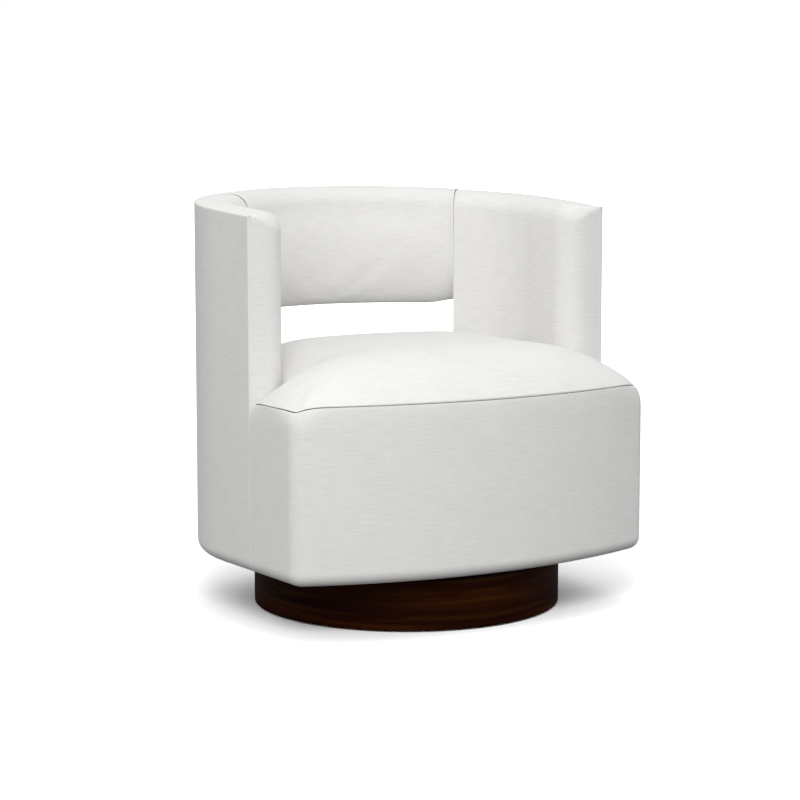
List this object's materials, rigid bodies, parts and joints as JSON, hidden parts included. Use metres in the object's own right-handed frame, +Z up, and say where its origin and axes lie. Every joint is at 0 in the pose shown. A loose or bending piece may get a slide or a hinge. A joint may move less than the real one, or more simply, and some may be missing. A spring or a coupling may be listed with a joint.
{
  "type": "swivel barrel chair",
  "caption": "Low upholstered barrel chair with an open window in its curved back, a crowned T-shaped seat and a round wooden plinth that it swivels on.",
  "frame": {"origin": "on the floor, at the centre of the chair's outline seen from above", "axes": "+Z up, the front of the chair faces -Y, +X to the right of someone who looks at the front"},
  "size_m": [0.7874, 0.7112, 0.7874],
  "materials": {
    "linen": "plain off-white linen-look weave",
    "walnut": "dark stained walnut veneer, satin",
    "plywood": "raw birch plywood",
    "hardwood": "raw planed hardwood",
    "hardboard": "raw hardboard",
    "nylon": "moulded nylon",
    "black_steel": "black powder coat",
    "zinc_steel": "zinc plated",
    "felt": "grey needled felt",
    "foam": "polyurethane foam",
    "dust_cloth": "black spunbonded cloth"
  },
  "bodies": {
    "base": {"plinth_drum": "walnut", "plinth_board": "plywood", "plinth_foot_ring": "plywood", "plinth_glue_blocks": "hardwood", "floor_glides": "nylon", "swivel_lower_plate": "black_steel", "swivel_lower_screws": "zinc_steel", "swivel_kingpin": "black_steel"},
    "bearing": {"swivel_balls": "zinc_steel", "ball_cage": "nylon"},
    "seat": {"swivel_upper_plate": "black_steel", "swivel_bolts": "zinc_steel", "tee_nuts": "zinc_steel", "swivel_board": "plywood", "cross_rails": "hardwood", "cross_rail_screws": "zinc_steel", "bottom_ring": "plywood", "frame_legs": "hardwood", "seat_ring": "plywood", "corner_blocks": "hardwood", "arm_front_posts": "hardwood", "window_posts": "hardwood", "arm_top_rails": "plywood", "roll_top_rail": "plywood", "roll_lower_rail": "plywood", "sill_rail": "plywood", "roll_posts": "hardwood", "sill_posts": "hardwood", "outer_board_left": "hardboard", "outer_board_right": "hardboard", "outer_board_lower_back": "hardboard", "outer_board_roll": "hardboard", "front_board": "hardboard", "seat_springs": "zinc_steel", "spring_clips": "zinc_steel", "spring_felt": "felt", "seat_foam": "foam", "seat_top": "linen", "front_cover": "linen", "outside_arm_left": "linen", "outside_arm_right": "linen", "outside_back_lower": "linen", "outside_back_roll": "linen", "arm_pad_left": "linen", "arm_pad_right": "linen", "sill_pad": "linen", "back_roll": "linen", "dust_sheet": "dust_cloth"}
  },
  "joints": [
    {"name": "seat_swivel", "type": "hinge", "parent": "base", "child": "seat", "pos_m": [0, -0.0254, 0.1], "axis": [0, 0, 1], "continuous": true},
    {"name": "bearing_turn", "type": "hinge", "parent": "base", "child": "bearing", "pos_m": [0, -0.0254, 0.0915], "axis": [0, 0, 1], "continuous": true}
  ],
  "couplings": [
    {"joint": "bearing_turn", "follows": "seat_swivel", "ratio": 0.5}
  ]
}
